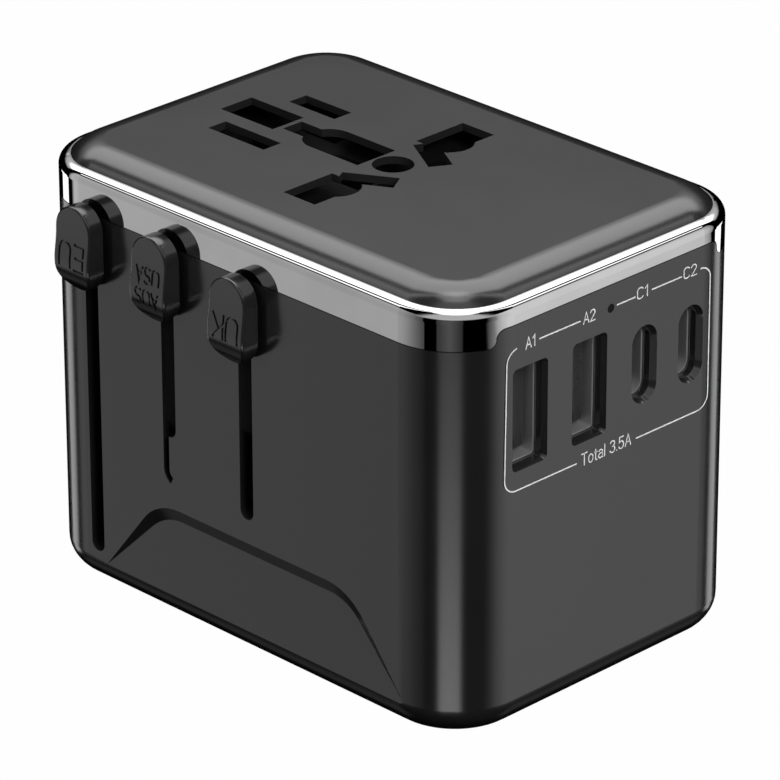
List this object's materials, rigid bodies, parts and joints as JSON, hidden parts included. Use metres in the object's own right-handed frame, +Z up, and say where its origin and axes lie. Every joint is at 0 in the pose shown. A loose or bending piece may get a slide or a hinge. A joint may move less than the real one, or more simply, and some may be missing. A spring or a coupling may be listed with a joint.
{
  "type": "universal travel adapter",
  "caption": "Pocket travel adapter with a universal socket on top, slide-out EU, US/AU and UK plugs, chrome trim ring and USB-A and USB-C ports.",
  "frame": {"origin": "middle of the base plate's underside, where the adapter stands", "axes": "+Z up through the socket face, +X out of the USB port face, plug sliders on the -Y face"},
  "size_m": [0.073, 0.054, 0.0566],
  "materials": {
    "black_plastic": "satin",
    "inner_plastic": "matte",
    "pale_plastic": "matte",
    "chrome_trim": "polished",
    "brass": "bright",
    "nickel": "bright plated",
    "spring_steel": "bright",
    "screw_steel": "black oxide",
    "shell_steel": "bright",
    "board": "solder mask",
    "component_black": "moulded",
    "ferrite": "sintered",
    "tape_yellow": "film tape",
    "film_blue": "dipped",
    "fuse_ceramic": "glazed",
    "light_pipe": "clear",
    "lamp": "clear cap"
  },
  "bodies": {
    "case": {"base_plate": "black_plastic", "base_screws": "screw_steel", "bulk_capacitors": "component_black", "charge_controller": "component_black", "earth_contact": "brass", "film_capacitor": "film_blue", "fuse_clips": "brass", "guide_frame": "inner_plastic", "housing": "black_plastic", "input_choke": "ferrite", "line_contact": "brass", "line_fuse": "fuse_ceramic", "line_rails": "brass", "neutral_contact": "brass", "neutral_rails": "brass", "power_board": "board", "rectifier": "component_black", "shutter_spring": "spring_steel", "socket_core": "inner_plastic", "socket_cover": "black_plastic", "socket_plate": "inner_plastic", "status_led": "lamp", "status_light_pipe": "light_pipe", "transformer_core": "ferrite", "transformer_winding": "tape_yellow", "trim_ring": "chrome_trim", "usb_a_shell_1": "shell_steel", "usb_a_shell_2": "shell_steel", "usb_a_tongue_1": "inner_plastic", "usb_a_tongue_2": "inner_plastic", "usb_board": "board", "usb_c_risers": "inner_plastic", "usb_c_shell_1": "shell_steel", "usb_c_shell_2": "shell_steel", "usb_c_tongue_1": "inner_plastic", "usb_c_tongue_2": "inner_plastic"},
    "shutter": {"safety_shutter": "inner_plastic"},
    "eu_plug": {"eu_carriage": "inner_plastic", "eu_pins": "nickel", "eu_pin_sleeves": "inner_plastic", "eu_wipers": "brass"},
    "eu_thumb": {"eu_button": "black_plastic", "eu_button_spring": "spring_steel"},
    "us_plug": {"us_carriage": "inner_plastic", "us_wipers": "brass"},
    "us_thumb": {"us_button": "black_plastic", "us_button_spring": "spring_steel"},
    "line_blade": {"us_line_blade": "nickel"},
    "neutral_blade": {"us_neutral_blade": "nickel"},
    "uk_plug": {"uk_carriage": "inner_plastic", "uk_line_pin": "nickel", "uk_neutral_pin": "nickel", "uk_pin_sleeves": "inner_plastic", "uk_earth_pin": "nickel", "uk_wipers": "brass"},
    "uk_thumb": {"uk_button": "black_plastic", "uk_button_spring": "spring_steel"}
  },
  "joints": [
    {"name": "shutter_slide", "type": "slide", "parent": "case", "child": "shutter", "axis": [1, 0, 0], "range_m": [0, 0.0096], "stiffness_N_per_m": 40, "springref_m": -0.001},
    {"name": "eu_slide", "type": "slide", "parent": "case", "child": "eu_plug", "axis": [0, 0, -1], "range_m": [0, 0.038]},
    {"name": "us_slide", "type": "slide", "parent": "case", "child": "us_plug", "axis": [0, 0, -1], "range_m": [0, 0.0182]},
    {"name": "uk_slide", "type": "slide", "parent": "case", "child": "uk_plug", "axis": [0, 0, -1], "range_m": [0, 0.0235]},
    {"name": "eu_press", "type": "slide", "parent": "eu_plug", "child": "eu_thumb", "axis": [0, 1, 0], "range_m": [0, 0.0004], "stiffness_N_per_m": 1000, "springref_m": -0.0005},
    {"name": "us_press", "type": "slide", "parent": "us_plug", "child": "us_thumb", "axis": [0, 1, 0], "range_m": [0, 0.0004], "stiffness_N_per_m": 1000, "springref_m": -0.0005},
    {"name": "uk_press", "type": "slide", "parent": "uk_plug", "child": "uk_thumb", "axis": [0, 1, 0], "range_m": [0, 0.0004], "stiffness_N_per_m": 1000, "springref_m": -0.0005},
    {"name": "line_blade_swivel", "type": "hinge", "parent": "us_plug", "child": "line_blade", "pos_m": [-0.0118, 0.00635, 0.02], "axis": [0, 0, 1], "range_deg": [0, 30]},
    {"name": "neutral_blade_swivel", "type": "hinge", "parent": "us_plug", "child": "neutral_blade", "pos_m": [-0.0118, -0.00635, 0.02], "axis": [0, 0, 1], "range_deg": [-30, 0]}
  ],
  "couplings": [
    {"joint": "neutral_blade_swivel", "follows": "line_blade_swivel", "ratio": -1}
  ]
}
